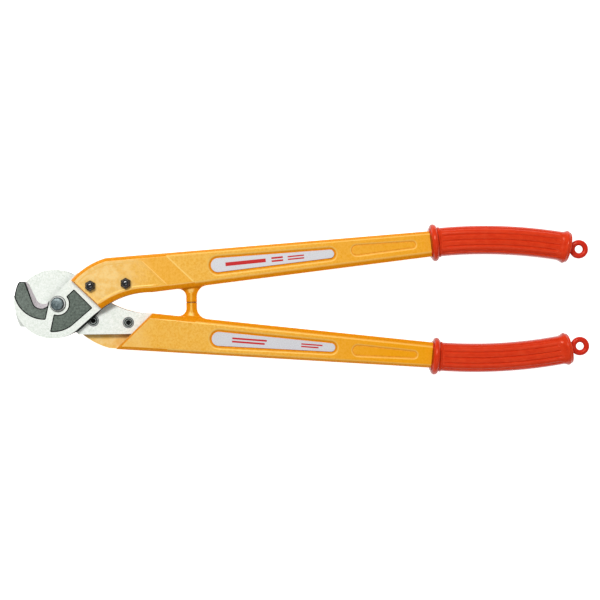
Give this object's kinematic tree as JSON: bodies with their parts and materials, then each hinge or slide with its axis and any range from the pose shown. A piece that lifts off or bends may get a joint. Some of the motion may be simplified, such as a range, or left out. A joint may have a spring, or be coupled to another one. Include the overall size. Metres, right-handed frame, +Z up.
{
  "type": "cable cutter",
  "caption": "Long-handled scissor cable cutter with hooked blades, lapped plastic handles, ribbed grip sleeves and hanging eyes, lying closed.",
  "frame": {"origin": "under the middle of the closed tool's length and width, on the surface it lies on", "axes": "+X along the tool from the blades to the hanging eyes, +Y towards the upper handle (the one that moves), +Z up out of the surface, along the pivot bolt"},
  "size_m": [0.6, 0.1574, 0.04],
  "materials": {
    "blade_steel": "ground, with dark painted recesses",
    "pivot_steel": "blued",
    "washer_steel": "plain",
    "handle_plastic": "moulded, semi-gloss",
    "screw_steel": "oiled",
    "black_nut": "black, glossy",
    "grip_vinyl": "dipped vinyl, semi-gloss",
    "eye_plastic": "moulded, glossy",
    "silver_plate": "satin"
  },
  "bodies": {
    "lower_half": {"rear_blade": "blade_steel", "pivot_bolt": "pivot_steel", "pivot_washer": "washer_steel", "pivot_spring_washer": "washer_steel", "pivot_nut": "pivot_steel", "lower_handle": "handle_plastic", "lower_front_tang_screw": "screw_steel", "lower_rear_tang_screw": "screw_steel", "lower_front_cap_nut": "black_nut", "lower_rear_cap_nut": "black_nut", "lower_grip": "grip_vinyl", "lower_hang_eye": "eye_plastic", "lower_name_plate": "silver_plate"},
    "upper_half": {"front_blade": "blade_steel", "upper_handle": "handle_plastic", "upper_front_tang_screw": "screw_steel", "upper_rear_tang_screw": "screw_steel", "upper_front_cap_nut": "black_nut", "upper_rear_cap_nut": "black_nut", "upper_grip": "grip_vinyl", "upper_hang_eye": "eye_plastic", "upper_name_plate": "silver_plate"}
  },
  "joints": [
    {"name": "blade_pivot", "type": "hinge", "parent": "lower_half", "child": "upper_half", "pos_m": [-0.25415, 0, 0.02], "axis": [0, 0, 1], "range_deg": [0, 115]}
  ]
}
